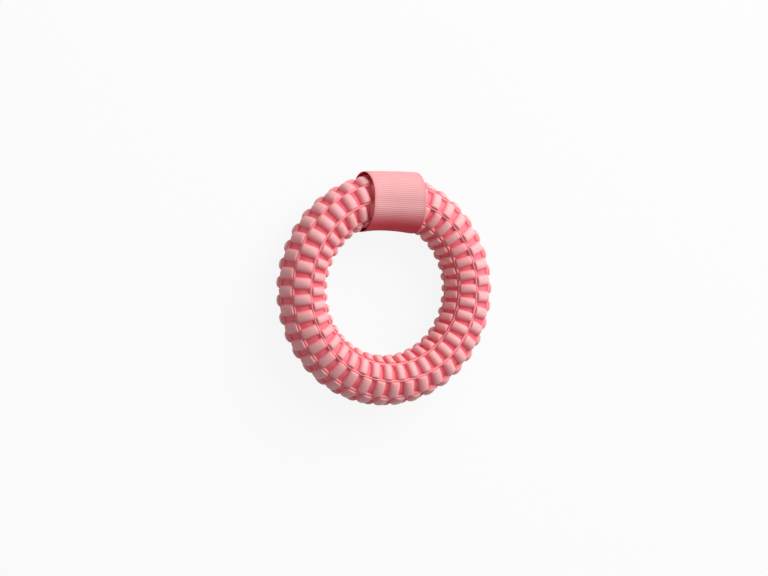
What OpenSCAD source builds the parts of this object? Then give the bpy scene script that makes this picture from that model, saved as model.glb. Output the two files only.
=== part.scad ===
// Rubber chew ring for dogs, lying flat, with a woven ribbon loop round its tube.
// The rubber ring is hollow. It is two identical mouldings, bonded on flat lands in the plane of the ring.
// Eight ridges run round the ring, and short half-round bars lie across the tube between them,
// staggered from row to row like bricks. The ribbon is one strip, lapped and sewn underneath, near the hole.
// Millimetres, +Z up, the hole's centre on the Z axis, the ribbon towards +Y.

/* [Rubber ring] */
// Diameter of the circle that the middle of the tube follows
ring_d = 119; // [105:1:140]
// Radius of the tube's wall, between the ridges and the bars
tube_r = 13.7; // [12:0.1:15]
// Radius of the air channel inside the tube
channel_r = 8; // [6:0.1:9.5]
// Height of the ridges above the wall
ridge_h = 1.8; // [1.2:0.1:2.2]
// Width of the ridges
ridge_w = 1.4; // [1:0.1:2]

/* [Bars] */
// Height of the bars above the wall
bar_h = 3; // [2.4:0.1:3.6]
// Width of the bars on the top and underside of the ring
bar_w = 6.9; // [6:0.1:7.2]
// How much wider the bars are on the ring's outside, and narrower in its hole
bar_extra_w = 1.5; // [0.8:0.1:1.8]
// Distance from bar to bar along the middle of the tube
bar_spacing = 9.84; // [9:0.01:12]

/* [Ribbon] */
// Width of the ribbon, along the tube
ribbon_w = 38; // [25:1:42]
// Thickness of the ribbon
ribbon_t = 0.7; // [0.5:0.1:1]
// Room between the bars and the ribbon loop
ribbon_slack = 0.3; // [0.3:0.05:0.8]
// Length of the lap where the ribbon's ends are sewn together
lap_l = 12; // [9:0.5:16]
// Room between the two layers of the lap
lap_gap = 0.15; // [0.1:0.05:0.3]

/* [Seam] */
// Thickness of the sewing thread
thread_d = 0.5; // [0.3:0.05:0.6]
// Length of one stitch
stitch_l = 3; // [2.5:0.1:4]
// Distance between the two rows of stitches
seam_spacing = 6; // [4:0.5:7]
// Distance from the ribbon's edge to the first stitch
seam_margin = 2.5; // [1.5:0.5:4]

/* [Hidden] */
rows = 8;
arc_steps = 2; // flats along a bar, round the tube
channel_steps = 6; // flats round half of the channel
bend_steps = 20; // flats round each end of the ribbon loop
phase_share = 0.3; // where the first bar stands, as a share of the bar spacing
lap_turn = 45; // how far the middle of the lap is turned under, away from the hole
shoulder_share = 0.86; // half width of a bar at the ridges' height, as a share of its half width at the wall
crown_share = 0.36; // the same at the top of the bar
ring_r = ring_d / 2;
ridge_r = tube_r + ridge_h;
tip_r = tube_r + bar_h;
bars = round(PI * ring_d / bar_spacing);
pitch_a = 360 / bars;
row_a = 360 / rows;
ridge_half_a = asin(ridge_w / 2 / ridge_r);
loop_r = tip_r + ribbon_slack;
// The ribbon's straight sleeve has to clear the ring's bars at its two ends, on the side of the hole
near_c = sqrt(pow(ring_r - tip_r, 2) - pow(ribbon_w / 2, 2)) + tip_r;
lap_step = ribbon_t + lap_gap;
lap_a = lap_l / loop_r * 180 / PI;
lap_r = loop_r + lap_step + ribbon_t;
ramp_a = 2 * lap_a / 3;
mid_z = loop_r + ribbon_t;

// A point on the tube: ring_a runs round the ring, and section_a round the tube from its outermost line
function on_tube(ring_a, section_a, r) =
  let (reach = ring_r + r * cos(section_a))
  [reach * cos(ring_a), reach * sin(ring_a), r * sin(section_a)];

// The outline of a bar, cut along the tube: distance from the bar's middle, and radius
function bar_outline(row) =
  let (half = (bar_w + bar_extra_w * cos((row + 1 / 2) * row_a)) / 2)
  [[-half, tube_r], [-half * shoulder_share, ridge_r], [-half * crown_share, tip_r],
   [half * crown_share, tip_r], [half * shoulder_share, ridge_r], [half, tube_r]];

// One moulding: the upper half of the ring, with the flat land that it is bonded on
module half_shell() {
  half_rows = rows / 2;
  corners = 6;
  line_n = corners * bars;
  edge_n = 2 * bars;
  // Lines round the ring that carry the bars: the start, middle and end of each row
  bar_lines = [for (row = [0 : half_rows - 1], s = [0 : arc_steps])
    let (section_a = row * row_a + ridge_half_a + s * (row_a - 2 * ridge_half_a) / arc_steps)
    [for (j = [0 : bars - 1], p = bar_outline(row))
      on_tube((j + phase_share + (row % 2) / 2) * pitch_a + atan(p[0] / (ring_r + p[1] * cos(section_a))),
        section_a, p[1])]];
  // Plain lines: the land's inner edge, the channel's wall and the land's outer edge
  plain_rule = concat([[ridge_r, 180]],
    [for (s = [channel_steps : -1 : 0]) [channel_r, s * 180 / channel_steps]], [[ridge_r, 0]]);
  plain_lines = [for (rule = plain_rule)
    [for (n = [0 : edge_n - 1]) on_tube((n / 2 + 1 / 4 + phase_share) * pitch_a, rule[1], rule[0])]];
  points = [for (line = concat(bar_lines, plain_lines), p = line) p];

  function corner(line, n) = line * line_n + n % line_n;
  function first(row) = row * (arc_steps + 1);
  function last(row) = first(row) + arc_steps;
  // The corners at the height of the ridges, two for each bar, paired across the staggered rows
  function bar_edge(line, row) = [for (n = [0 : edge_n - 1])
    let (k = n + (row + 1) % 2) corner(line, corners * floor(k / 2) + (k % 2 == 0 ? 1 : corners - 2))];
  function plain_edge(i) = [for (n = [0 : edge_n - 1]) len(bar_lines) * line_n + i * edge_n + n];
  function strip(a, b) = [for (n = [0 : edge_n - 1]) let (m = (n + 1) % edge_n) [a[n], b[n], b[m], a[m]]];

  bar_faces = [for (row = [0 : half_rows - 1], s = [0 : arc_steps - 1], n = [0 : line_n - 1])
    let (line = first(row) + s)
    [corner(line, n), corner(line + 1, n), corner(line + 1, n + 1), corner(line, n + 1)]];
  // The end of a bar above its ridge, and the side of the ridge in the gap beside it
  end_faces = [for (row = [0 : half_rows - 1], j = [0 : bars - 1], shift = [1, corners - 2])
    each let (n = corners * j + shift)
    [[for (i = [0 : 3]) corner(first(row), n + i)], [for (i = [3 : -1 : 0]) corner(last(row), n + i)]]];
  ridge_faces = [for (row = [0 : half_rows - 2])
    each strip(bar_edge(last(row), row), bar_edge(first(row + 1), row + 1))];
  land_faces = concat(
    strip(bar_edge(last(half_rows - 1), half_rows - 1), plain_edge(0)),
    [for (i = [0 : len(plain_rule) - 2]) each strip(plain_edge(i), plain_edge(i + 1))],
    strip(plain_edge(len(plain_rule) - 1), bar_edge(first(0), 0)));
  polyhedron(points, concat(bar_faces, end_faces, ridge_faces, land_faces));
}

module front_shell() {
  color("lightpink") translate([0, 0, mid_z]) half_shell();
}

// The same moulding turned over, so that its bars stagger with the front's at the bond line
module back_shell() {
  color("lightpink") translate([0, 0, mid_z])
    rotate((2 * phase_share + 1 / 2) * pitch_a) rotate([180, 0, 0]) half_shell();
}

// A point of the ribbon's loop in the Y-Z plane, seen along the tube: angle 180 looks at the hole and 270 down
function on_loop(centre, a, r) = [centre + r * cos(a), r * sin(a)];

// The ribbon, one strip from end to end, rises over its own start where it laps
module ribbon_band() {
  start_a = 180 + lap_turn - lap_a / 2;
  end_a = 540 + lap_turn + lap_a / 2;
  stretches = [[near_c, start_a, 270], [ring_r, 270, 450], [near_c, 450, end_a]];
  path = [for (s = stretches, i = [0 : bend_steps])
    let (a = s[1] + (s[2] - s[1]) * i / bend_steps, rise = (a - end_a + lap_a + ramp_a) / ramp_a)
    [s[0], a, loop_r + lap_step * max(0, min(1, rise))]];
  inner = [for (p = path) on_loop(p[0], p[1], p[2])];
  outer = [for (i = [len(path) - 1 : -1 : 0]) on_loop(path[i][0], path[i][1], path[i][2] + ribbon_t)];
  color("pink") translate([-ribbon_w / 2, 0, mid_z]) rotate([90, 0, 90])
    linear_extrude(ribbon_w) polygon(concat(inner, outer));
}

// One stitch seen from the side: a bar on the cloth and a leg down each needle hole
module stitch(reach_down) {
  half = stitch_l / 2;
  round_in = thread_d / 3;
  polygon([[-half, -reach_down], [-half, thread_d - round_in], [-half + round_in, thread_d],
    [half - round_in, thread_d], [half, thread_d - round_in], [half, -reach_down],
    [half - thread_d / 2, -reach_down], [half - thread_d / 2, 0],
    [-half + thread_d / 2, 0], [-half + thread_d / 2, -reach_down]]);
}

module seam_thread() {
  stitches = floor((ribbon_w - 2 * seam_margin) / stitch_l);
  reach_down = lap_step + ribbon_t / 2;
  row_turn = seam_spacing / 2 / lap_r * 180 / PI;
  color("palevioletred") for (side = [-1, 1])
    translate([0, near_c, mid_z]) rotate([lap_turn - side * row_turn, 0, 0]) translate([0, -lap_r, 0])
      rotate([0, 0, 180]) rotate([0, 90, 90]) rotate(90) linear_extrude(thread_d, center = true)
        for (i = [0 : stitches - 1]) translate([(i - (stitches - 1) / 2) * stitch_l, 0]) stitch(reach_down);
}

front_shell();
back_shell();
ribbon_band();
seam_thread();
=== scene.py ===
"""Looks for the chew ring: two ribbed rubber halves, a sewn grosgrain loop and a pale studio."""

import math
from collections import namedtuple

import bpy
import numpy as np
from bpy.props import FloatProperty, FloatVectorProperty, IntProperty, PointerProperty
from mathutils import Matrix, Vector


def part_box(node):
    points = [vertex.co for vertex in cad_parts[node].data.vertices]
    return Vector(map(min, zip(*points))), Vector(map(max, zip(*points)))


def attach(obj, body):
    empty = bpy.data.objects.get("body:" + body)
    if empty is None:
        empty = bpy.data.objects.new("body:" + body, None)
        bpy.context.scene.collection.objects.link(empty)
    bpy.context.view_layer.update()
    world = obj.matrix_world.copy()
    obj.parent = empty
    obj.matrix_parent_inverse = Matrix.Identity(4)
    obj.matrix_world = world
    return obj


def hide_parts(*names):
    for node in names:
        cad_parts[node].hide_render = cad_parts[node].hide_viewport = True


bl_info = {
    "name": "Chew Ring",
    "version": (1, 0, 0),
    "blender": (4, 5, 0),
    "location": "3D View > Sidebar > Chew Ring",
    "description": "Dresses the packed chew ring with ribbed rubber, a ribbon loop and a studio",
    "category": "Object",
}

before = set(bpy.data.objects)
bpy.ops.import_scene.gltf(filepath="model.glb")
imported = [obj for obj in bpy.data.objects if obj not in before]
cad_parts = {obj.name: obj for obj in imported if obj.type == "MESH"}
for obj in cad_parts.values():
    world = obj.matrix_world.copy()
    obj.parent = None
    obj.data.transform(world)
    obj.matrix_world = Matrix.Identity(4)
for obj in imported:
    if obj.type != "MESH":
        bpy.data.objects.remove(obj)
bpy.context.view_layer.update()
SHELL_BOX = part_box("front_shell")
RIBBON_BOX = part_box("ribbon_band")
MID_Z = SHELL_BOX[0].z
RIBBON_WIDTH = RIBBON_BOX[1].x - RIBBON_BOX[0].x

MM = 0.001
TURN = 2 * math.pi
ROWS_IN_HALF = 4
ROW_ANGLE = math.radians(45)

# Points of the rubber's skin: from a bar's middle to its side, on to the middle of the gap,
# and round half of the air channel. The turns run over a ridge's flank and over a bar's end.
BAR_STEPS = 6
GAP_STEPS = 4
COLUMNS = 2 * (BAR_STEPS + GAP_STEPS)
CHANNEL_STEPS = 7
RIDGE_TURNS = np.radians([10, 35, 62, 90])
BAR_END_TURNS = np.radians([0, 30, 60, 90])
BAR_TOP_SHARES = (1 / 3, 2 / 3)
SLIT_MARGIN_SHARE = 1 / 8
MAX_SLIT_FILL = 0.55

# Ridges are counted from the bond line on the ring's outside, which is 0, to the one in the hole,
# which is 4. Ridge 1 is slim, with shallow slits beside it, and ridge 3 has deep ones.
FLUSH_EDGE = 1
FLUSH_RIDGE_SHARE = 0.75
FLUSH_SLIT_FILL = 0.57
DEEP_EDGE = 3

# Points of the ribbon: along one rib, across a selvedge, and across the woven middle.
RIB_STEPS = 8
SELVEDGE_POINTS = 4
WOVEN_POINTS = 21

# How far the ribs scallop the ribbon's edge, the share of the selvedge that has no ribs,
# and the least thickness of the edge as a share of the thickness between the ribs.
SCALLOP = 0.07 * MM
PLAIN_SHARE = 0.35
THIN_EDGE_SHARE = 0.3

# How fast the lift at the loop's mouth fades inwards, and its share at the loop's other end.
MOUTH_POWER = 2.5
FAR_MOUTH_SHARE = 0.25

# The strip climbs over its own start just before the lap, along this share of the lap's length.
LAP_RAMP_SHARE = 2 / 3

# The painted shade on the side towards the hole begins this far round the tube from the hole, and
# is full this much nearer to it.
HOLE_SHADE_REACH = math.radians(88)
HOLE_SHADE_BLEND = math.radians(52)

# A stitch: its points, half its reach as a share of its length, how it stands proud and dives as
# shares of the thread, its plies and twist, how its ends taper, and how flat it is pulled.
STITCH_RINGS = 25
STITCH_SIDES = 10
STITCH_REACH_SHARE = 0.44
STITCH_PROUD_SHARE = 0.32
STITCH_DIVE_SHARE = 1.25
STITCH_DIVE_POWER = 5
PLIES = 2
PLY_DEPTH_SHARE = 0.14
PLY_TWIST = 9
STITCH_TAPER_SHARE = 0.35
STITCH_TAPER_POWER = 6
STITCH_FLAT_SHARE = 0.8

# Finishes. A scale is in noise cells to a metre. A range or a roughness is what a noise from
# 0 to 1 is spread over, and RIB_RANGE is the part of the level that the ribs' colours take up.
MOTTLE_SCALE = 55.0
# The crowns of the bars are painted paler, a painted highlight, mottled at random over this range.
CROWN_HIGHLIGHT_RANGE = (0.64, 0.92)
RUBBER_ROUGHNESS = (0.40, 0.52)
RUBBER_GRAIN_SCALE = 2600.0
RUBBER_GRAIN_SHARE = 0.35
RUBBER_FLOW_SCALE = 160.0
RUBBER_BUMP = 0.12 * MM
RUBBER_BUMP_STRENGTH = 0.25
RUBBER_GLOSS = 0.2
RUBBER_GLOW = 0.15
RUBBER_GLOW_DEPTH = 2.5 * MM
RUBBER_GLOW_TINT = (1.0, 0.2, 0.15)

YARN_PITCH = 0.33 * MM
YARN_SHARE = 0.3
SLUB_SCALE = 900.0
SLUB_SHARE = 0.5
DYE_SCALE = 70.0
DYE_SHARE = 0.3
# RIB_SHARE paints the furrows between the ribs deeper, as painted shade.
RIB_SHARE = 0.8
RIB_RANGE = (0.1, 1.0)
# How much of the painted shade towards the hole and on the strip's back is laid on.
HOLE_SHADE_SHARE = 0.92
BACK_SHADE_SHARE = 0.96
RIBBON_ROUGHNESS = (0.62, 0.78)
RIBBON_BUMP = 0.06 * MM
RIBBON_BUMP_STRENGTH = 0.35
RIBBON_GLOSS = 0.15
RIBBON_SHEEN = 0.12
RIBBON_SHEEN_ROUGHNESS = 0.45
RIBBON_SHEEN_TINT = (1.0, 0.5, 0.5, 1.0)

FIBRE_SCALE = 3000.0
FIBRE_RANGE = (0.0, 0.5)
THREAD_BUMP = 0.04 * MM
THREAD_BUMP_STRENGTH = 0.3
THREAD_ROUGHNESS = 0.7
THREAD_SHEEN = 0.4
THREAD_SHEEN_ROUGHNESS = 0.4

TOOTH_SCALE = 400.0
TOOTH_RANGE = (0.0, 0.03)
WHITE = (1, 1, 1, 1)
CLIP_START = 0.05

# The ribbon's path: the tube's centre, the angle round it and the length so far at each corner,
# the loop's radius, the centre on the hole's side, and half the angle that the lap takes up.
Loop = namedtuple("Loop", "centre angle along loop_r near_c lap_half")


def length(name, description, default):
    """A length in metres, shown in Blender's own units."""
    return FloatProperty(name=name, description=description, default=default, unit="LENGTH",
                         subtype="DISTANCE", precision=5)


def share(name, description, default, high=1):
    """A share, from 0 to its upper limit."""
    return FloatProperty(name=name, description=description, default=default, min=0, max=high,
                         subtype="FACTOR")


def colour(name, description, default):
    """A linear colour without alpha."""
    return FloatVectorProperty(name=name, description=description, default=default, size=3,
                               subtype="COLOR", min=0, max=1)


def direction(name, description, default):
    """A direction in the frame that the CAD shares."""
    return FloatVectorProperty(name=name, description=description, default=default,
                               subtype="DIRECTION")


class ChewRingRubberSizes(bpy.types.PropertyGroup):
    """Sizes of the hollow rubber ring and of the bars on it."""

    ring_d: length("Ring", "Diameter of the circle that the middle of the tube follows", 119 * MM)
    tube_r: length("Tube", "Radius of the tube's wall, between ridges and bars", 13.7 * MM)
    channel_r: length("Air channel", "Radius of the channel inside the tube", 8 * MM)
    ridge_h: length("Ridge height", "Height of the ridges above the wall", 1.8 * MM)
    ridge_w: length("Ridge width", "Width of the ridges that run round the ring", 1.4 * MM)
    slit_w: length("Slit", "Width of the slits between the ridges and the ends of the bars",
                   0.24 * MM)
    deep_slit_w: length("Deep slit", "Width of the slits beside the ridges that face the hole",
                        0.48 * MM)
    slit_fill: share("Slit fill",
                     "How far the narrow slits are filled, as a share of the bar height",
                     0.5, MAX_SLIT_FILL)
    bar_h: length("Bar height", "Height of the bars above the wall", 3 * MM)
    bar_w: length("Bar width", "Width of the bars on the top and underside of the ring", 6.9 * MM)
    bar_extra_w: length("Extra width", "How much wider the outermost bars are", 1.5 * MM)
    bar_round: length("Bar end", "Radius that rounds the ends of the bars", 0.7 * MM)
    ridge_sway: length("Ridge sway", "How far the bars push a ridge aside", 0.1 * MM)
    groove: length("Bond line", "Depth of the hairline where the halves are bonded", 0.12 * MM)
    bars: IntProperty(name="Bars", description="Bars in one row round the ring", default=38,
                      min=12)
    phase: share("First bar", "Where the first bar stands, as a share of the bar spacing", 0.3)
    squareness: FloatProperty(name="Squareness", default=2.3, min=2, max=4,
                              description="Bar profile: 2 is a half round, more is boxier")


class ChewRingRibbonSizes(bpy.types.PropertyGroup):
    """Sizes of the ribbon strip, its weave and its seam."""

    width: length("Width", "Width of the ribbon, along the tube", RIBBON_WIDTH)
    thickness: length("Thickness", "Thickness of the ribbon over its ribs", 0.65 * MM)
    slack: length("Slack", "Room between the bars and the loop", 0.2 * MM)
    lap: length("Lap", "Length of the lap where the ends are sewn", 12 * MM)
    lap_gap: length("Lap gap", "Room between the layers of the lap", 0.15 * MM)
    rib_pitch: length("Rib pitch", "Distance from rib to rib of the weave", 1.34 * MM)
    rib_h: length("Rib height", "Height of the ribs on each face", 0.11 * MM)
    selvedge: length("Selvedge", "Width of the smooth woven edge", 1.9 * MM)
    edge_dip: length("Edge dip", "How far the outer side settles at its edges", 0.3 * MM)
    hole_lift: length("Hole lift", "How far the side towards the hole bows in to the tube",
                      1.2 * MM)
    mouth_lift: length("Mouth lift", "How far the upper side stands up at the looser mouth",
                       2.0 * MM)
    mouth_open: length("Mouth opening", "How far the hole's side stands off at the looser mouth",
                       0.7 * MM)
    outer_lean: length("Outer lean", "How far the outer side stands off at the other end",
                       1.2 * MM)
    lap_turn: FloatProperty(name="Lap turn", default=math.radians(45), subtype="ANGLE",
                            unit="ROTATION",
                            description="How far the lap is turned under, away from the hole")
    thread_d: length("Thread", "Thickness of the sewing thread", 0.45 * MM)
    stitch_l: length("Stitch", "Length of one stitch", 3 * MM)
    seam_spacing: length("Seam spacing", "Distance between the two rows of stitches", 6 * MM)
    seam_margin: length("Seam margin", "Distance from the ribbon's edge to the first stitch",
                        2.5 * MM)


class ChewRingColours(bpy.types.PropertyGroup):
    """Colours of the rubber, the ribbon, the thread and the floor."""

    # The rubber colour shows where the bars are low, in the gaps and on their sides, as painted
    # shade; the paler crown colour is a painted highlight.
    rubber: colour("Rubber", "Colour of the moulded rubber", (0.92, 0.185, 0.235))
    painted_crown_highlight: colour("Bloom", "Paler film on the crowns of the bars", (0.84, 0.475, 0.468))
    ribbon: colour("Ribbon", "Colour of the ribbon on its ribs", (0.76, 0.40, 0.405))
    # The furrow colour is painted shade between the ribs; the thread's darker fibres use it too.
    deep_dye_and_furrow_shade: colour("Ribbon furrow", "Colour of the ribbon between its ribs",
                        (0.63, 0.25, 0.26))
    # The colour towards the hole is painted shade, on the side turned away from the lamp.
    ribbon_shade: colour("Ribbon towards the hole", "Deeper dye where the strip faces the hole",
                         (0.62, 0.045, 0.075))
    # The back's deep red is painted shade inside the loop.
    ribbon_back_shade: colour("Ribbon inside", "Deep red back of the strip, inside the loop",
                          (0.80, 0.015, 0.05))
    thread: colour("Thread", "Colour of the sewing thread", (0.84, 0.38, 0.39))
    floor: colour("Floor", "Colour of the studio floor", (0.62, 0.62, 0.62))


class ChewRingStage(bpy.types.PropertyGroup):
    """Camera, lamp, sky and floor."""

    towards_camera: direction("Towards the camera", "Direction from the ring",
                              (-0.4201, 0.0077, 0.9074))
    camera_up: direction("Camera up", "Direction that is up in the picture",
                         (-0.0329, 0.9991, -0.0237))
    towards_lamp: direction("Towards the lamp", "Direction of the main light",
                            (0.485, 0.621, 0.616))
    camera_distance: length("Camera distance", "From the ring's centre to the lens", 1.967)
    aim_shift: FloatVectorProperty(name="Aim", default=(-0.77 * MM, 0.99 * MM), size=2,
                                   subtype="XYZ_LENGTH",
                                   description="From the ring's middle to the picture's")
    lens: FloatProperty(name="Lens", description="Focal length on a 36 mm wide sensor",
                        default=140.6, unit="CAMERA")
    lamp_distance: length("Lamp distance", "From the ring's centre to the lamp", 1.7)
    lamp_size: length("Lamp size", "Width of the square lamp", 1.6)
    lamp_power: FloatProperty(name="Lamp power", description="Power of the main lamp",
                              default=44.0, unit="POWER")
    sky: FloatProperty(name="Sky", description="Strength of the even light from all round",
                       default=0.33)
    floor_white: share("Floor white", "Share of plain white that the lens sees in the floor", 0.9)
    sky_white: share("Sky white", "Share of plain white that the lens sees in the sky", 0.93)
    floor_size: length("Floor size", "Width of the square floor", 12)


def mesh_object(name, points, quads, smooth=True):
    """A new object in the scene from an array of points and one of four-cornered faces."""
    mesh = bpy.data.meshes.new(name)
    mesh.vertices.add(len(points))
    mesh.vertices.foreach_set("co", np.asarray(points, np.float32).ravel())
    quads = np.asarray(quads, np.int32)
    mesh.loops.add(quads.size)
    mesh.loops.foreach_set("vertex_index", quads.ravel())
    mesh.polygons.add(len(quads))
    mesh.polygons.foreach_set("loop_start", np.arange(0, quads.size, 4, dtype=np.int32))
    mesh.polygons.foreach_set("use_smooth", np.full(len(quads), smooth))
    mesh.update(calc_edges=True)
    mesh.validate()
    obj = bpy.data.objects.new(name, mesh)
    bpy.context.scene.collection.objects.link(obj)
    return obj


def grid_quads(lines, columns, close_lines, close_columns):
    """Faces of a grid of points, line by line, that may close on itself either way."""
    line = np.arange(lines if close_lines else lines - 1)[:, None]
    column = np.arange(columns if close_columns else columns - 1)[None, :]
    after, beside = (line + 1) % lines, (column + 1) % columns
    corners = (line * columns + column, line * columns + beside,
               after * columns + beside, after * columns + column)
    return np.stack(np.broadcast_arrays(*corners), -1).reshape(-1, 4)


def end_caps(rings, sides, flip_first):
    """Faces that close a tube's first and last ring, from pairs of points across it."""
    pair = np.arange(sides // 2 - 1)
    caps = []
    for ring, flip in ((0, flip_first), (rings - 1, not flip_first)):
        near, far = ring * sides + pair, ring * sides + sides - 1 - pair
        cap = np.stack([near, near + 1, far - 1, far], -1)
        caps.append(cap[:, ::-1] if flip else cap)
    return caps


def point_values(obj, name, values):
    """Stores one number for each point of a mesh, for the materials to read."""
    layer = obj.data.attributes.new(name, "FLOAT", "POINT")
    layer.data.foreach_set("value", np.asarray(values, np.float32).ravel())


def finish_piece(obj, body, slot, material, *nodes):
    """Gives a piece its material and body, and hides the solids that it stands for. The slot is not
    used.
    """
    obj.data.materials.append(material)
    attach(obj, body)
    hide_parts(*nodes)


def eased(part):
    """A share cut to 0 to 1, with a soft start and a soft end."""
    part = np.clip(part, 0, 1)
    return part * part * (3 - 2 * part)


class RingSkin:
    """Points of one rubber half: staggered rows of bars between thin ridges."""

    def __init__(self, sizes):
        self.sizes = sizes
        self.ring_r = sizes.ring_d / 2
        self.ridge_r = sizes.tube_r + sizes.ridge_h
        self.pitch = TURN / sizes.bars
        self.columns = COLUMNS * sizes.bars
        self.column = np.arange(self.columns)

    def bar_column(self, row):
        """For each column: steps from the middle of the nearest bar in a row, with its sign."""
        middle = COLUMNS // 2 if row % 2 == 0 else 0
        return (self.column - middle + COLUMNS // 2) % COLUMNS - COLUMNS // 2

    def bar_shape(self, row):
        """For each column: offset from the bar's middle line, and share of the bar's height."""
        steps = self.bar_column(row)
        turn = np.minimum(np.abs(steps), BAR_STEPS) / BAR_STEPS * math.pi / 2
        power = 2 / self.sizes.squareness
        extra_w = self.sizes.bar_extra_w * math.cos((row + 0.5) * ROW_ANGLE)
        half = (self.sizes.bar_w + extra_w) / 2
        height = np.clip(np.cos(turn), 0, 1) ** power
        return np.sign(steps) * half * np.sin(turn) ** power, height

    def ring_angles(self, row, section_angle, radius):
        """Angle round the ring of each column, as one row of bars spaces them."""
        steps = self.bar_column(row)
        offset, _ = self.bar_shape(row)
        reach = self.ring_r + radius * np.cos(section_angle)
        into_gap = np.maximum(np.abs(steps) - BAR_STEPS, 0) / GAP_STEPS
        foot = np.arctan(np.abs(offset) / reach)
        spread = foot + (self.pitch / 2 - foot) * into_gap
        return (self.column - steps) / COLUMNS * self.pitch + np.sign(steps) * spread

    def on_tube(self, ring_angle, section_angle, radius):
        """Points on the tube, from angles round the ring and round the tube."""
        reach = self.ring_r + radius * np.cos(section_angle)
        xyz = np.broadcast_arrays(reach * np.cos(ring_angle), reach * np.sin(ring_angle),
                                  radius * np.sin(section_angle))
        return np.stack(xyz, -1)

    def half_row(self, row, edge, side):
        """Lines from a ridge's crest towards the middle of a row.

        The side is 1 for the row after the ridge and -1 for the row before it.
        """
        s = self.sizes
        ridge_half = s.ridge_w / 2
        _, height = self.bar_shape(row)
        sway = s.ridge_sway * np.cos(self.column / COLUMNS * TURN) * (-1) ** edge
        on_seam = edge in (0, ROWS_IN_HALF)
        slit_w, slit_fill = s.slit_w, s.slit_fill
        if edge == FLUSH_EDGE:
            ridge_half *= FLUSH_RIDGE_SHARE
            slit_fill = FLUSH_SLIT_FILL
        elif edge == DEEP_EDGE:
            slit_w, slit_fill = s.deep_slit_w, 0
        lines = []

        def add(distance, radius, own_share, sway_share):
            """Adds one line, spaced by this row and by its neighbour over the ridge."""
            shift = distance + side * sway * sway_share * (not on_seam)
            section_angle = edge * ROW_ANGLE + side * shift / self.ridge_r
            angles = own_share * self.ring_angles(row, section_angle, radius)
            if own_share < 1:
                beside = self.ring_angles(row - side, section_angle, radius)
                angles += (1 - own_share) * beside
            lines.append((angles, section_angle, np.broadcast_to(radius, height.shape)))

        add(0, self.ridge_r - s.groove * on_seam, 0.5, 1)
        for turn in RIDGE_TURNS:
            distance = ridge_half * math.sin(turn)
            radius = self.ridge_r - ridge_half * (1 - math.cos(turn))
            add(distance, radius, 0.5 + distance / ridge_half / 2, 1)
        margin = slit_w * SLIT_MARGIN_SHARE
        slit_floor = s.tube_r + s.bar_h * height * slit_fill
        add(ridge_half + margin, slit_floor + margin, 1, 0.5)
        bar_end = ridge_half + slit_w
        add(bar_end - margin, slit_floor, 1, 0)
        for turn in BAR_END_TURNS:
            lowered = 1 - s.bar_round / s.bar_h * (1 - math.sin(turn))
            distance = bar_end + s.bar_round * (1 - math.cos(turn))
            add(distance, s.tube_r + s.bar_h * height * lowered, 1, 0)
        middle = self.ridge_r * ROW_ANGLE / 2
        first = bar_end + s.bar_round
        for part in BAR_TOP_SHARES:
            add(first + (middle - first) * part, s.tube_r + s.bar_h * height, 1, 0)
        return lines

    def half_shell(self):
        """Points of the upper half, line by line, and the share of the bars' height at each."""
        s = self.sizes
        lines = []
        for row in range(ROWS_IN_HALF):
            _, height = self.bar_shape(row)
            lines += self.half_row(row, row, 1)
            middle_angle = (row + 0.5) * ROW_ANGLE
            radius = s.tube_r + s.bar_h * height
            lines.append((self.ring_angles(row, middle_angle, radius), middle_angle, radius))
            before = self.half_row(row, row + 1, -1)[::-1]
            lines += before if row == ROWS_IN_HALF - 1 else before[:-1]
        seam_angles = lines[0][0]
        for step in range(CHANNEL_STEPS, -1, -1):
            lines.append((seam_angles, step * math.pi / CHANNEL_STEPS, s.channel_r))
        points = np.stack([self.on_tube(*line) for line in lines])
        crown = np.stack([np.broadcast_to((radius - s.tube_r) / s.bar_h, self.columns)
                          for _, _, radius in lines])
        return points, np.clip(crown, 0, 1)


def section_loop(sizes, rubber):
    """The ribbon's path from its start to its end, seen along the tube."""
    ring_r = rubber.ring_d / 2
    tip_r = rubber.tube_r + rubber.bar_h
    loop_r = tip_r + sizes.slack
    near_c = math.sqrt((ring_r - tip_r) ** 2 - (sizes.width / 2) ** 2) + tip_r
    lap_half = sizes.lap / loop_r / 2
    start = math.pi + sizes.lap_turn - lap_half
    end = start + TURN + 2 * lap_half
    down, up = 0.75 * TURN, 1.25 * TURN
    centre = np.array([near_c, near_c, ring_r, ring_r, near_c, near_c])
    angle = np.array([start, down, down, up, up, end])
    run = np.hypot(np.diff(centre), np.diff(angle) * (loop_r + sizes.thickness / 2))
    along = np.concatenate([[0], np.cumsum(run)])
    return Loop(centre, angle, along, loop_r, near_c, lap_half)


def mouth_share(across):
    """How far the loop stands off across its width, as a share: 1 at its looser mouth."""
    mouth, far_end = (np.clip(side * across, 0, 1) ** MOUTH_POWER for side in (-1, 1))
    return mouth + FAR_MOUTH_SHARE * far_end


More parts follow.
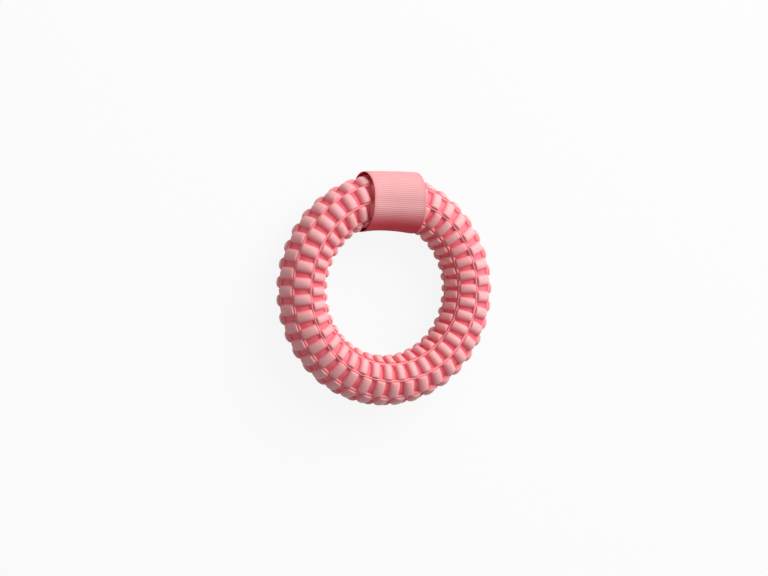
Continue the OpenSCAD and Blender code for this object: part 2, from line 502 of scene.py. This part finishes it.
def ribbon_points(sizes, rubber):
    """Points of the ribbon along its path, what its material reads there, and its length."""
    loop = section_loop(sizes, rubber)
    strip_length = loop.along[-1]
    ribs = round(strip_length / sizes.rib_pitch)
    u = np.linspace(0, strip_length, ribs * RIB_STEPS + 1)
    centre = np.interp(u, loop.along, loop.centre)
    angle = np.interp(u, loop.along, loop.angle)
    cos_a, sin_a = np.cos(angle)[:, None], np.sin(angle)[:, None]
    wave = np.cos(TURN * u * ribs / strip_length)
    rib = 0.5 - 0.5 * wave
    lap = 2 * loop.lap_half
    rise = eased((angle - loop.angle[-1] + lap) / (LAP_RAMP_SHARE * lap) + 1)
    mid_r = loop.loop_r + sizes.thickness / 2 + (sizes.thickness + sizes.lap_gap) * rise

    half = sizes.width / 2
    woven_half = 1 - sizes.selvedge / half
    across = np.concatenate([np.linspace(-1, -woven_half, SELVEDGE_POINTS)[:-1],
                             np.linspace(-woven_half, woven_half, WOVEN_POINTS),
                             np.linspace(woven_half, 1, SELVEDGE_POINTS)[1:]])
    inset = (1 - np.abs(across)) * half
    woven = np.clip(inset / sizes.selvedge - PLAIN_SHARE, 0, 1)
    bead = sizes.thickness / 2 - sizes.rib_h
    at_edge = inset < bead
    edge = np.sqrt(np.clip(1 - (1 - np.clip(inset / bead, 0, 1)) ** 2, 0, 1))
    thin = bead * np.maximum(edge, THIN_EDGE_SHARE)
    face = thin[None, :] + sizes.rib_h * rib[:, None] * woven[None, :]
    scallop = np.sign(across)[None, :] * SCALLOP * wave[:, None] * at_edge[None, :]

    outer, near = (np.maximum(side * cos_a, 0) ** 2 for side in (1, -1))
    upper = np.maximum(sin_a, 0) ** 2
    mouth = mouth_share(across)[None, :]
    outer_shift = (sizes.outer_lean * (1 + across[None, :]) / 2
                   - sizes.edge_dip * across[None, :] ** 2)
    near_shift = sizes.hole_lift * (1 - across[None, :] ** 2) - sizes.mouth_open * mouth

    def surface(side):
        """The strip's outer face for 1, or its back for -1."""
        r = mid_r[:, None] + side * face
        x = across[None, :] * half - scallop
        y = centre[:, None] + r * cos_a + outer * outer_shift + near * near_shift
        z = MID_Z + r * sin_a + sizes.mouth_lift * upper * mouth
        return np.stack(np.broadcast_arrays(x, y, z), -1)

    points = np.concatenate([surface(1), surface(-1)[:, ::-1]], 1)
    # Painted shade, deeper on the side towards the hole.
    from_hole = np.abs(angle % TURN - math.pi)
    hole_shade = eased((HOLE_SHADE_REACH - from_hole) / HOLE_SHADE_BLEND)
    # Painted shade: the strip's back is painted deep red, and so is the thin edge at the looser
    # mouth.
    back = np.concatenate([at_edge & (across < 0), np.ones(len(across))])
    values = {
        "rib": rib[:, None] * np.concatenate([woven, woven]),
        "strip_x": np.concatenate([across, across[::-1]]) * half,
        "hole_side": hole_shade[:, None],
        "inside": back,
    }
    values = {name: np.broadcast_to(v, points.shape[:2]) for name, v in values.items()}
    return points, values, strip_length


def stitch_points(sizes, rubber, x_middle, turn):
    """Points of one stitch of twisted thread, which dives into the ribbon at both ends."""
    loop = section_loop(sizes, rubber)
    lap_r = loop.loop_r + 2 * sizes.thickness + sizes.lap_gap
    t = np.linspace(-1, 1, STITCH_RINGS)[:, None]
    x = x_middle + t * sizes.stitch_l * STITCH_REACH_SHARE
    dive = STITCH_DIVE_SHARE * np.abs(t) ** STITCH_DIVE_POWER
    rise = sizes.thread_d * (STITCH_PROUD_SHARE - dive)
    round_angle = np.arange(STITCH_SIDES)[None, :] / STITCH_SIDES * TURN
    ply = 1 + PLY_DEPTH_SHARE * np.cos(PLIES * round_angle + PLY_TWIST * t)
    taper = 1 - STITCH_TAPER_SHARE * np.abs(t) ** STITCH_TAPER_POWER
    radius = sizes.thread_d / 2 * ply * taper
    out = lap_r + rise + STITCH_FLAT_SHARE * radius * np.cos(round_angle)
    beside = radius * np.sin(round_angle)
    section_angle = math.pi + sizes.lap_turn + turn
    cos_a, sin_a = math.cos(section_angle), math.sin(section_angle)
    across = x / sizes.width * 2
    bow = sizes.hole_lift * (1 - across ** 2) - sizes.mouth_open * mouth_share(across)
    y = loop.near_c + bow * cos_a ** 2 + out * cos_a - beside * sin_a
    z = MID_Z + out * sin_a + beside * cos_a
    return np.stack(np.broadcast_arrays(x, y, z), -1)


class Shader:
    """A small helper that adds nodes to one material's tree and joins them."""

    def __init__(self, tree):
        self.tree = tree
        tree.nodes.clear()

    def feed(self, socket, value):
        """Links another node's output to a socket, or sets the socket's own value."""
        if isinstance(value, bpy.types.NodeSocket):
            self.tree.links.new(value, socket)
        else:
            socket.default_value = value

    def add(self, kind, settings=None, **inputs):
        """A new node with its settings, and its inputs by name, with _ for a space."""
        node = self.tree.nodes.new(kind)
        for key, value in (settings or {}).items():
            setattr(node, key, value)
        for key, value in inputs.items():
            name = key.replace("_", " ").lower()
            self.feed(next(i for i in node.inputs if i.name.lower() == name and i.enabled), value)
        return node

    def mix_colour(self, part, first, second):
        """The first colour where the part is 0, and the second where it is 1."""
        node = self.add("ShaderNodeMix", {"data_type": "RGBA"})
        for socket, value in zip([i for i in node.inputs if i.enabled], (part, first, second)):
            self.feed(socket, value)
        return next(o for o in node.outputs if o.enabled)

    def remap(self, value, low, high, from_low=0.0, from_high=1.0):
        """Spreads a value from one range, 0 to 1 if none is given, over another."""
        node = self.add("ShaderNodeMapRange", None, Value=value, From_Min=from_low,
                        From_Max=from_high, To_Min=low, To_Max=high)
        return node.outputs["Result"]

    def math(self, operation, first, second):
        """The result of one operation on two values."""
        node = self.add("ShaderNodeMath", {"operation": operation})
        for socket, value in zip(node.inputs, (first, second)):
            self.feed(socket, value)
        return node.outputs[0]

    def noise(self, scale, detail=3.0, roughness=0.6):
        """A noise in the piece's own coordinates."""
        where = self.add("ShaderNodeTexCoord").outputs["Object"]
        node = self.add("ShaderNodeTexNoise", None, Vector=where, Scale=scale, Detail=detail,
                        Roughness=roughness)
        return node.outputs[0]

    def attribute(self, name):
        """A value that the mesh holds at its points."""
        return self.add("ShaderNodeAttribute", {"attribute_name": name}).outputs["Fac"]

    def bump(self, strength, distance, height):
        """The normal of a fine relief."""
        node = self.add("ShaderNodeBump", None, Strength=strength, Distance=distance,
                        Height=height)
        return node.outputs["Normal"]


def opaque(rgb):
    """A colour with full alpha."""
    return (*rgb, 1.0)


def new_material(name):
    """An empty material and the helper that fills it."""
    material = bpy.data.materials.new(name)
    material.use_nodes = True
    return material, Shader(material.node_tree)


def rubber_material(colours):
    """Satin moulded rubber: painted highlight on the crowns, painted shade in the gaps, faint
    mottling and a fine mould grain.
    """
    material, shader = new_material("satin_rubber")
    mottle = shader.noise(MOTTLE_SCALE, detail=4.0)
    # Painted highlight on the crowns, mottled at random; the low parts keep the deeper colour as
    # painted shade.
    highlight_part = shader.math("MULTIPLY", shader.attribute("crown"), shader.remap(mottle, *CROWN_HIGHLIGHT_RANGE))
    base = shader.mix_colour(highlight_part, opaque(colours.rubber), opaque(colours.painted_crown_highlight))
    grain = shader.noise(RUBBER_GRAIN_SCALE, detail=2.0)
    flow = shader.noise(RUBBER_FLOW_SCALE, roughness=0.5)
    relief = shader.math("ADD", shader.math("MULTIPLY", grain, RUBBER_GRAIN_SHARE), flow)
    surface = shader.add(
        "ShaderNodeBsdfPrincipled", None, Base_Color=base,
        Roughness=shader.remap(mottle, *RUBBER_ROUGHNESS),
        Normal=shader.bump(RUBBER_BUMP_STRENGTH, RUBBER_BUMP, relief),
        Specular_IOR_Level=RUBBER_GLOSS, Subsurface_Weight=RUBBER_GLOW,
        Subsurface_Radius=RUBBER_GLOW_TINT, Subsurface_Scale=RUBBER_GLOW_DEPTH)
    shader.add("ShaderNodeOutputMaterial", None, Surface=surface.outputs[0])
    return material


def ribbon_material(colours):
    """Grosgrain: ribs across the strip with fine yarns over them, painted shade in the furrows,
    towards the hole and on the back, and a soft sheen.
    """
    material, shader = new_material("grosgrain_ribbon")
    turns = shader.math("MULTIPLY", shader.attribute("strip_x"), TURN / YARN_PITCH)
    yarns = shader.math("SINE", turns, 0.0)
    slub = shader.noise(SLUB_SCALE)
    dye = shader.noise(DYE_SCALE, roughness=0.5)
    # Painted shade: the furrows between the ribs take the deeper colour, with random dye tone.
    level = shader.math("ADD", shader.math("MULTIPLY", shader.attribute("rib"), RIB_SHARE),
                        shader.math("MULTIPLY", dye, DYE_SHARE))
    base = shader.mix_colour(shader.remap(level, 0.0, 1.0, *RIB_RANGE),
                             opaque(colours.deep_dye_and_furrow_shade), opaque(colours.ribbon))
    # Painted shade: the strip is deeper towards the hole, and deep red on its back inside the loop.
    for name, depth, tint in (("hole_side", HOLE_SHADE_SHARE, colours.ribbon_shade),
                              ("inside", BACK_SHADE_SHARE, colours.ribbon_back_shade)):
        part = shader.math("MULTIPLY", shader.attribute(name), depth)
        base = shader.mix_colour(part, base, opaque(tint))
    relief = shader.math("ADD", shader.math("MULTIPLY", yarns, YARN_SHARE),
                         shader.math("MULTIPLY", slub, SLUB_SHARE))
    surface = shader.add(
        "ShaderNodeBsdfPrincipled", None, Base_Color=base,
        Roughness=shader.remap(slub, *RIBBON_ROUGHNESS),
        Normal=shader.bump(RIBBON_BUMP_STRENGTH, RIBBON_BUMP, relief),
        Specular_IOR_Level=RIBBON_GLOSS, Sheen_Weight=RIBBON_SHEEN,
        Sheen_Roughness=RIBBON_SHEEN_ROUGHNESS, Sheen_Tint=RIBBON_SHEEN_TINT)
    shader.add("ShaderNodeOutputMaterial", None, Surface=surface.outputs[0])
    return material


def thread_material(colours):
    """Spun thread: a pale yarn with darker fibres in it."""
    material, shader = new_material("spun_thread")
    fibre = shader.noise(FIBRE_SCALE)
    base = shader.mix_colour(shader.remap(fibre, *FIBRE_RANGE),
                             opaque(colours.thread), opaque(colours.deep_dye_and_furrow_shade))
    surface = shader.add(
        "ShaderNodeBsdfPrincipled", None, Base_Color=base, Roughness=THREAD_ROUGHNESS,
        Normal=shader.bump(THREAD_BUMP_STRENGTH, THREAD_BUMP, fibre),
        Sheen_Weight=THREAD_SHEEN, Sheen_Roughness=THREAD_SHEEN_ROUGHNESS)
    shader.add("ShaderNodeOutputMaterial", None, Surface=surface.outputs[0])
    return material


def seen_by_lens(shader):
    """1 for rays from the lens and for mirrored or refracted ones, else 0."""
    path = shader.add("ShaderNodeLightPath")
    seen = shader.math("ADD", path.outputs["Is Camera Ray"], path.outputs["Is Glossy Ray"])
    seen = shader.math("ADD", seen, path.outputs["Is Transmission Ray"])
    return shader.math("MINIMUM", seen, 1.0)


def floor_material(colours, white_share):
    """Matt board, lifted towards plain white where the lens sees it, so its shadow stays faint."""
    material, shader = new_material("white_board")
    tooth = shader.noise(TOOTH_SCALE)
    base = shader.mix_colour(shader.remap(tooth, *TOOTH_RANGE), opaque(colours.floor), WHITE)
    board = shader.add("ShaderNodeBsdfDiffuse", None, Color=base)
    white = shader.add("ShaderNodeEmission", None, Color=WHITE, Strength=1.0)
    part = shader.math("MULTIPLY", seen_by_lens(shader), white_share)
    mix = shader.add("ShaderNodeMixShader", None, Fac=part)
    shader.feed(mix.inputs[1], board.outputs[0])
    shader.feed(mix.inputs[2], white.outputs[0])
    shader.add("ShaderNodeOutputMaterial", None, Surface=mix.outputs[0])
    return material


def make_sky(strength, white):
    """Even light from all round, which the lens sees as pale as the floor far away."""
    world = bpy.data.worlds.new("studio_sky")
    world.use_nodes = True
    shader = Shader(world.node_tree)
    level = shader.remap(seen_by_lens(shader), strength, white)
    sky = shader.add("ShaderNodeBackground", None, Color=WHITE, Strength=level)
    shader.add("ShaderNodeOutputWorld", None, Surface=sky.outputs[0])
    bpy.context.scene.world = world


class CHEWRING_OT_stage(bpy.types.Operator):
    """Make the camera at the photograph's angle, the lamp, the sky and the floor"""

    bl_idname = "chew_ring.stage"
    bl_label = "Stage"

    def execute(self, context):
        stage = context.scene.chew_ring_stage
        middle = Vector((0, 0, MID_Z))
        back = Vector(stage.towards_camera).normalized()
        right = Vector(stage.camera_up).cross(back).normalized()
        up = back.cross(right)
        camera = bpy.data.objects.new("photo_camera", bpy.data.cameras.new("photo_camera"))
        context.scene.collection.objects.link(camera)
        camera.data.lens = stage.lens
        camera.data.clip_start, camera.data.clip_end = CLIP_START, 2 * stage.floor_size
        aim = middle + right * stage.aim_shift[0] + up * stage.aim_shift[1]
        turn = Matrix((right, up, back)).transposed().to_4x4()
        camera.matrix_world = Matrix.Translation(aim + back * stage.camera_distance) @ turn
        context.scene.camera = camera

        towards_lamp = Vector(stage.towards_lamp).normalized()
        lamp = bpy.data.objects.new("window_lamp", bpy.data.lights.new("window_lamp", "AREA"))
        context.scene.collection.objects.link(lamp)
        lamp.data.size = stage.lamp_size
        lamp.data.energy = stage.lamp_power
        lamp.location = middle + towards_lamp * stage.lamp_distance
        lamp.rotation_euler = towards_lamp.to_track_quat("Z", "Y").to_euler()

        half = stage.floor_size / 2
        corners = [(-half, -half, 0), (half, -half, 0), (half, half, 0), (-half, half, 0)]
        floor = mesh_object("floor", np.array(corners), np.array([[0, 1, 2, 3]]), smooth=False)
        colours = context.scene.chew_ring_colours
        floor.data.materials.append(floor_material(colours, stage.floor_white))
        make_sky(stage.sky, stage.sky_white)
        context.scene.view_settings.view_transform = "Standard"
        return {"FINISHED"}


class CHEWRING_OT_rubber_halves(bpy.types.Operator):
    """Make the two bonded rubber halves with their bars, ridges and air channel"""

    bl_idname = "chew_ring.rubber_halves"
    bl_label = "Rubber halves"

    def execute(self, context):
        sizes = context.scene.chew_ring_rubber
        skin = RingSkin(sizes)
        points, crown = skin.half_shell()
        quads = grid_quads(*points.shape[:2], True, True)
        material = rubber_material(context.scene.chew_ring_colours)
        front = Matrix.Rotation((sizes.phase - 0.5) * skin.pitch, 3, "Z")
        turned_over = Matrix.Rotation(math.pi, 3, "X")
        back = Matrix.Rotation((sizes.phase + 1) * skin.pitch, 3, "Z") @ turned_over
        for name, node, turn in (("rubber_front_half", "front_shell", front),
                                 ("rubber_back_half", "back_shell", back)):
            placed = points.reshape(-1, 3) @ np.array(turn).T + np.array([0, 0, MID_Z])
            half = mesh_object(name, placed, quads)
            point_values(half, "crown", crown)
            finish_piece(half, "ring", "rubber", material, node)
        return {"FINISHED"}


class CHEWRING_OT_ribbon(bpy.types.Operator):
    """Make the grosgrain strip, bent into a loop round the tube, with its ends lapped"""

    bl_idname = "chew_ring.ribbon"
    bl_label = "Ribbon"

    def execute(self, context):
        scene = context.scene
        points, values, strip_length = ribbon_points(scene.chew_ring_ribbon,
                                                     scene.chew_ring_rubber)
        stations, around = points.shape[:2]
        quads = [grid_quads(stations, around, False, True), *end_caps(stations, around, False)]
        ribbon = mesh_object("ribbon_loop", points.reshape(-1, 3), np.concatenate(quads))
        for name, numbers in values.items():
            point_values(ribbon, name, numbers)
        material = ribbon_material(scene.chew_ring_colours)
        finish_piece(ribbon, "band", "ribbon", material, "ribbon_band")
        scene["ribbon_length"] = strip_length
        return {"FINISHED"}


class CHEWRING_OT_stitches(bpy.types.Operator):
    bl_idname = "chew_ring.stitches"
    bl_label = "Stitches"

    def execute(self, context):
        sizes, rubber = context.scene.chew_ring_ribbon, context.scene.chew_ring_rubber
        lap_r = section_loop(sizes, rubber).loop_r + 2 * sizes.thickness
        row_turn = sizes.seam_spacing / 2 / lap_r
        count = int((sizes.width - 2 * sizes.seam_margin) / sizes.stitch_l)
        one = np.concatenate([grid_quads(STITCH_RINGS, STITCH_SIDES, False, True),
                              *end_caps(STITCH_RINGS, STITCH_SIDES, True)])
        points, quads = [], []
        for turn in (-row_turn, row_turn):
            for i in range(count):
                x = (i - (count - 1) / 2) * sizes.stitch_l
                quads.append(one + len(points) * STITCH_RINGS * STITCH_SIDES)
                points.append(stitch_points(sizes, rubber, x, turn).reshape(-1, 3))
        stitches = mesh_object("lap_stitches", np.concatenate(points), np.concatenate(quads))
        material = thread_material(context.scene.chew_ring_colours)
        finish_piece(stitches, "band", "thread", material, "seam_thread")
        return {"FINISHED"}


class CHEWRING_PT_panel(bpy.types.Panel):
    """Lists the pieces and their sizes in the 3D view's sidebar"""

    bl_idname = "CHEWRING_PT_panel"
    bl_label = "Chew Ring"
    bl_space_type = "VIEW_3D"
    bl_region_type = "UI"
    bl_category = "Chew Ring"

    def draw(self, context):
        for operator in OPERATORS:
            self.layout.operator(operator.bl_idname)
        for name in GROUPS:
            group = getattr(context.scene, name)
            box = self.layout.box()
            for key in group.__annotations__:
                box.prop(group, key)


OPERATORS = (CHEWRING_OT_stage, CHEWRING_OT_rubber_halves, CHEWRING_OT_ribbon, CHEWRING_OT_stitches)
GROUPS = {"chew_ring_rubber": ChewRingRubberSizes, "chew_ring_ribbon": ChewRingRibbonSizes,
          "chew_ring_colours": ChewRingColours, "chew_ring_stage": ChewRingStage}


def register():
    for cls in (*GROUPS.values(), *OPERATORS, CHEWRING_PT_panel):
        bpy.utils.register_class(cls)
    for name, group in GROUPS.items():
        setattr(bpy.types.Scene, name, PointerProperty(type=group))


def unregister():
    for name in GROUPS:
        delattr(bpy.types.Scene, name)
    for cls in reversed((*GROUPS.values(), *OPERATORS, CHEWRING_PT_panel)):
        bpy.utils.unregister_class(cls)


def main():
    register()
    bpy.ops.chew_ring.stage()
    bpy.ops.chew_ring.rubber_halves()
    bpy.ops.chew_ring.ribbon()
    bpy.ops.chew_ring.stitches()


if __name__ == "__main__":
    main()
